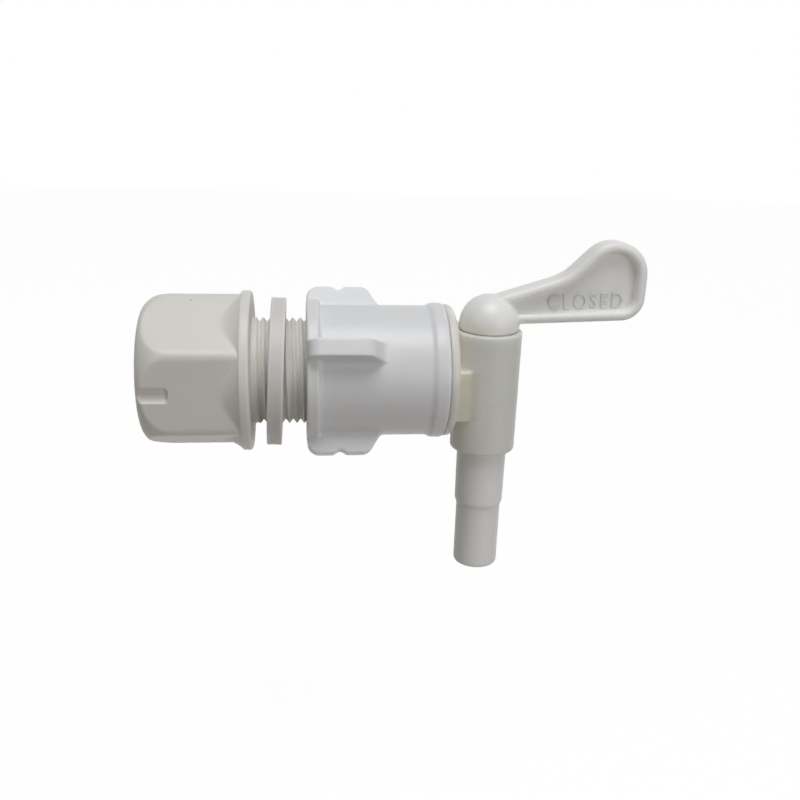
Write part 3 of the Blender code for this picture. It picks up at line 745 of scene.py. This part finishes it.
def make_tap_body(material):
    disc = spun([
        (DISC_RIGHT, 0),
        *arc(DISC_RIGHT - 1.5, DISC_RADIUS - 1.5, 1.5, 0, 90, 6),
        (DISC_LEFT, DISC_RADIUS),
        (DISC_LEFT, CREST_RADIUS),
        (TAIL_LEFT + 1, CREST_RADIUS),
        (TAIL_LEFT, CREST_RADIUS - 1),
        (TAIL_LEFT, TAIL_BORE_RADIUS),
        (DISC_LEFT + 0.2, TAIL_BORE_RADIUS),
        (DISC_LEFT + 0.2, 0),
    ], 180, "X")
    work = blank(disc, "tap_blank")
    housing = spun([
        (HOUSING_TOP, 0),
        *arc(HOUSING_TOP - 0.3, HOUSING_TOP_RADIUS - 0.3, 0.3, 0, 90, 3),
        *arc(HOUSING_FOOT + 0.6, HOUSING_FOOT_RADIUS - 0.6, 0.6, 90, 180, 4),
        (HOUSING_FOOT, 0),
    ], 128, "Z")
    bmesh.ops.translate(housing, verts=housing.verts, vec=(HUB_X, 0, 0))
    duct = make_box((DISC_RIGHT - 1, -DUCT_HALF_WIDTH, DUCT_LOW), (HUB_X - 1.3, DUCT_HALF_WIDTH, DUCT_HIGH))
    web = make_box((DISC_RIGHT - 1, -WEB_HALF_THICK, WEB_LOW), (HUB_X - 7.5, WEB_HALF_THICK, WEB_HIGH))
    web_head = make_box(
        (DISC_RIGHT - 1, -WEB_HEAD_HALF_THICK, WEB_HEAD_LOW),
        (HUB_X - 7.9, WEB_HEAD_HALF_THICK, WEB_HEAD_HIGH),
    )
    combine(work, [blank(s, "part_of_tap") for s in (housing, duct, web, web_head)], "UNION")

    bore = spun([
        (HOUSING_TOP + 2, 0),
        (HOUSING_TOP + 2, HOUSING_BORE_TOP_RADIUS),
        (HOUSING_TOP, HOUSING_BORE_TOP_RADIUS),
        (HOUSING_FOOT, HOUSING_BORE_FOOT_RADIUS),
        (HOUSING_FOOT - 2, HOUSING_BORE_FOOT_RADIUS),
        (HOUSING_FOOT - 2, 0),
    ], 128, "Z")
    bmesh.ops.translate(bore, verts=bore.verts, vec=(HUB_X, 0, 0))
    port = spun([
        (HUB_X - 3, 0), (HUB_X - 3, PORT_RADIUS), (DISC_LEFT - 2, PORT_RADIUS), (DISC_LEFT - 2, 0),
    ], 64, "X")
    bmesh.ops.translate(port, verts=port.verts, vec=(0, 0, PORT_Z))
    combine(work, [blank(s, "hole") for s in (port, bore)], "DIFFERENCE")
    body = melted(work, "tap_with_housing", material, skin_size=0.29, passes=3)
    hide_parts("tap_body")
    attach(body, "fixed_tap")


def within(nodes, links, value, low, high, blend):
    """1 between two places in millimetres and 0 beyond them, with a soft step at each."""
    steps = []
    for edge, side in ((low, 1), (high, -1)):
        step = nodes.new("ShaderNodeMapRange")
        step.interpolation_type = "SMOOTHSTEP"
        step.inputs["From Min"].default_value = (edge - side * blend) * MM
        step.inputs["From Max"].default_value = (edge + side * blend) * MM
        links.new(value, step.inputs["Value"])
        steps.append(step.outputs["Result"])
    both = nodes.new("ShaderNodeMath")
    both.operation = "MULTIPLY"
    links.new(steps[0], both.inputs[0])
    links.new(steps[1], both.inputs[1])
    return both.outputs[0]


def natural_plastic():
    """The milky plastic, with painted shade over the duct: a darker colour that stands in for the dark water
    way seen through the thin walls.
    """
    material = moulded("natural plastic", NATURAL_PALE, 0.36, 0.9, 0.006, specks=0.15, cloud=0.08, edge=0.6)
    nodes, links = material.node_tree.nodes, material.node_tree.links
    place = nodes.new("ShaderNodeTexCoord")
    axes = nodes.new("ShaderNodeSeparateXYZ")
    links.new(place.outputs["Object"], axes.inputs["Vector"])
    # Painted shade: a mask over the duct, between the disc and the housing, where the colour turns darker.
    along = within(nodes, links, axes.outputs["X"], DISC_RIGHT, HUB_X - 4.0, 2.5)
    upright = within(nodes, links, axes.outputs["Z"], DUCT_LOW, DUCT_HIGH, 0.4)
    painted_shade_over_duct = nodes.new("ShaderNodeMath")
    painted_shade_over_duct.operation = "MULTIPLY"
    links.new(along, painted_shade_over_duct.inputs[0])
    links.new(upright, painted_shade_over_duct.inputs[1])
    mix = nodes.new("ShaderNodeMix")
    mix.data_type = "RGBA"
    mix.inputs["A"].default_value = (*NATURAL_PALE, 1)
    mix.inputs["B"].default_value = (*NATURAL_PAINTED_SHADE, 1)
    links.new(painted_shade_over_duct.outputs[0], mix.inputs["Factor"])
    skin = next(node for node in nodes if node.type == "GROUP")
    links.new(mix.outputs["Result"], skin.inputs["Colour"])
    return material


make_tap_body(natural_plastic())


# Lever plug: white polypropylene, moulded in one: a lever with a rim round a thin web, a domed head,
# the tapered plug inside the housing and the spout below it.
DOME_BASE = HOUSING_TOP + 0.15
DOME_RADIUS = 7.6
DOME_HEIGHT = 9.05
DOME_SKIRT = 1.45
PLUG_TOP_RADIUS = 6.75
PLUG_FOOT_RADIUS = 6.5
SPOUT_STEP = HOUSING_FOOT - 14.9
SPOUT_UPPER_RADIUS = 6.35
SPOUT_LOWER_RADIUS = 5.85
SPOUT_BORE_RADIUS = 4.1
SPOUT_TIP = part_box("lever_plug")[0][2] / MM
LEVER_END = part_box("lever_plug")[1][0] / MM
LEVER_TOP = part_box("lever_plug")[1][2] / MM
LEVER_HALF_THICK = 3.2
LEVER_RIM = 2.5
LEVER_HALF_WEB = 0.9
LEVER_OUTER_ROUND = 1.3
LEVER_RIM_ROUND = 0.85
LEVER_FLOOR_ROUND = 0.2
LEVER_LOBE = 8.6
LEVER_HEEL = 5.8
LEVER_NECK_DEG = 45
LEVER_NECK_LENGTH = 8.7
LEVER_WAIST_ROUND = 14.0
LEVER_SILL = HOUSING_TOP + 1.65
LEVER_ROOT = LEVER_SILL + 6.8
LEVER_UNDER_DEG = 2.2


def lever_corners(inset):
    """The lever's straight-sided corners with their rounding, moved in from the edge by the inset."""
    neck = math.radians(LEVER_NECK_DEG)
    lobe_x = LEVER_END - LEVER_LOBE
    lobe_z = LEVER_TOP - LEVER_LOBE
    touch_x = lobe_x - LEVER_LOBE * math.sin(neck)
    touch_z = lobe_z + LEVER_LOBE * math.cos(neck)
    waist_x = touch_x - LEVER_NECK_LENGTH * math.cos(neck)
    waist_z = touch_z - LEVER_NECK_LENGTH * math.sin(neck)
    corners = [
        (HUB_X, LEVER_SILL, 0),
        (LEVER_END, LEVER_SILL + (LEVER_END - HUB_X) * math.tan(math.radians(LEVER_UNDER_DEG)), LEVER_HEEL),
        (LEVER_END, touch_z + (LEVER_END - touch_x) * math.tan(neck), LEVER_LOBE),
        (waist_x, waist_z, LEVER_WAIST_ROUND),
        (HUB_X, LEVER_ROOT, 0),
    ]
    moved = []
    for i, (x, z, radius) in enumerate(corners):
        here = Vector((x, z))
        before = (Vector(corners[i - 1][:2]) - here).normalized()
        after = (Vector(corners[(i + 1) % len(corners)][:2]) - here).normalized()
        inner = 1 if after.cross(before) > 0 else -1
        shift = (before + after).normalized() * inner * inset / math.sin(before.angle(after) / 2)
        moved.append((x + shift.x, z + shift.y, max(0, radius - inner * inset)))
    return moved


def is_flat_edge(edge, height):
    """Whether both ends of an edge lie at this height out from the XZ plane."""
    return all(abs(abs(v.co.y) - height) < 0.01 for v in edge.verts)


def rounded_edges(work, height, radius, steps):
    """Rounds the blank's square edges that lie at this height out from the XZ plane."""
    shape = bmesh.new()
    shape.from_mesh(work.data)
    square = [
        e for e in shape.edges
        if len(e.link_faces) == 2 and is_flat_edge(e, height) and e.calc_face_angle() > math.radians(60)
    ]
    bmesh.ops.bevel(
        shape, geom=square, offset=radius, offset_type="OFFSET", segments=steps, profile=0.5, affect="EDGES",
        material=-1, clamp_overlap=True,
    )
    shape.to_mesh(work.data)
    shape.free()


def make_lever_plug(material):
    bore_top = PORT_Z + PORT_RADIUS + 0.6
    dome = [
        (DOME_BASE + DOME_SKIRT + (DOME_HEIGHT - DOME_SKIRT) * math.cos(a), DOME_RADIUS * math.sin(a))
        for a in (math.radians(3 * i) for i in range(1, 31))
    ]
    plug = spun([
        (DOME_BASE + DOME_HEIGHT, 0),
        *dome,
        *arc(DOME_BASE + 0.7, DOME_RADIUS - 0.7, 0.7, 90, 180, 5),
        (DOME_BASE, PLUG_TOP_RADIUS),
        (HOUSING_TOP, PLUG_TOP_RADIUS),
        (HOUSING_FOOT, PLUG_FOOT_RADIUS),
        (HOUSING_FOOT - 0.5, PLUG_FOOT_RADIUS - 0.05),
        (SPOUT_STEP, SPOUT_UPPER_RADIUS),
        (SPOUT_STEP - 0.9, SPOUT_LOWER_RADIUS),
        *arc(SPOUT_TIP + 0.7, SPOUT_LOWER_RADIUS - 0.7, 0.7, 90, 180, 5),
        (SPOUT_TIP, SPOUT_BORE_RADIUS),
        (bore_top, SPOUT_BORE_RADIUS),
        (bore_top + 1.2, 0),
    ], 128, "Z")
    bmesh.ops.translate(plug, verts=plug.verts, vec=(HUB_X, 0, 0))
    work = blank(plug, "plug_blank")

    plate = standing_plate(rounded_outline(lever_corners(0), 5), LEVER_HALF_THICK)
    long_edges = [e for e in plate.edges if abs(e.verts[0].co.y - e.verts[1].co.y) < 0.01]
    bmesh.ops.bevel(
        plate, geom=long_edges, offset=LEVER_OUTER_ROUND, offset_type="OFFSET", segments=5, profile=0.5,
        affect="EDGES", material=-1,
    )
    lever = blank(plate, "lever")
    pockets = []
    for side in (-1, 1):
        pocket_outline = rounded_outline(lever_corners(LEVER_RIM), 5)
        pocket = standing_plate(pocket_outline, LEVER_HALF_THICK - LEVER_HALF_WEB)
        for vert in pocket.verts:
            vert.co.y += side * LEVER_HALF_THICK
        pockets.append(blank(pocket, "pocket"))
    combine(lever, pockets, "DIFFERENCE")
    rounded_edges(lever, LEVER_HALF_THICK, LEVER_RIM_ROUND, 4)
    rounded_edges(lever, LEVER_HALF_WEB, LEVER_FLOOR_ROUND, 2)
    combine(work, [lever], "UNION")
    port = spun([(-10, 0), (-10, PORT_RADIUS), (0, PORT_RADIUS), (0, 0)], 64, "X")
    turn = Matrix.Translation((HUB_X, 0, PORT_Z)) @ Matrix.Rotation(math.pi / 2, 4, "Z")
    bmesh.ops.transform(port, matrix=turn, verts=port.verts)
    combine(work, [blank(port, "hole")], "DIFFERENCE")
    piece = melted(work, "lever_and_spout", material, skin_size=0.29, passes=2)
    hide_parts("lever_plug")
    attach(piece, "lever")


lever_white = moulded("white lever plastic", (0.89, 0.887, 0.865), 0.36, 0.6, 0.003, specks=0.2, cloud=0.04)
make_lever_plug(lever_white)


# Words on the lever: thin raised letters on the web, one word to each side, part of the same moulding.
# They say what the lever's position does, in plain capitals.
LETTER_HEIGHT = 4.3
CAPITAL_SHARE = 0.73
LETTER_SPACING = 1.25
LETTER_THINNING = 0.03
LETTER_RISE = 0.24
LETTER_EDGE_ROUND = 0.07
WORD_MIDDLE = 70.3
WORD_FOOT = 16.3


def make_word(text, side, name, length):
    """A raised word on the lever's web, which side -1 shows to -Y and side 1 to +Y.

    The capitals take up their share of the font's size, and the strokes are thinned a little."""
    curve = bpy.data.curves.new(name, "FONT")
    curve.body = text
    curve.size = LETTER_HEIGHT / CAPITAL_SHARE
    curve.align_x = "CENTER"
    curve.space_character = LETTER_SPACING
    curve.extrude = LETTER_RISE - LETTER_EDGE_ROUND
    curve.bevel_depth = LETTER_EDGE_ROUND
    curve.bevel_resolution = 1
    curve.offset = -LETTER_THINNING
    drawn = bpy.data.objects.new(name, curve)
    bpy.context.scene.collection.objects.link(drawn)
    bpy.context.view_layer.update()
    mesh = bpy.data.meshes.new_from_object(drawn.evaluated_get(bpy.context.evaluated_depsgraph_get()))
    bpy.data.objects.remove(drawn)
    shape = bmesh.new()
    shape.from_mesh(mesh)
    width = max(v.co.x for v in shape.verts) - min(v.co.x for v in shape.verts)
    bmesh.ops.scale(shape, verts=shape.verts, vec=(length / width, 1, 1))
    lean = Matrix.Rotation(math.radians(-side * LEVER_UNDER_DEG), 4, "Z")
    stand = Matrix.Rotation(math.pi / 2 * (1 + side), 4, "Z") @ Matrix.Rotation(math.pi / 2, 4, "X") @ lean
    place = Matrix.Translation((WORD_MIDDLE, side * LEVER_HALF_WEB, WORD_FOOT))
    bmesh.ops.transform(shape, matrix=place @ stand, verts=shape.verts)
    bmesh.ops.remove_doubles(shape, verts=shape.verts, dist=0.001)
    word = piece_from(shape, name, lever_white)
    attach(word, "lever")


make_word("CLOSED", -1, "raised_word_front", 19.3)
make_word("OPEN", 1, "raised_word_back", 13.0)
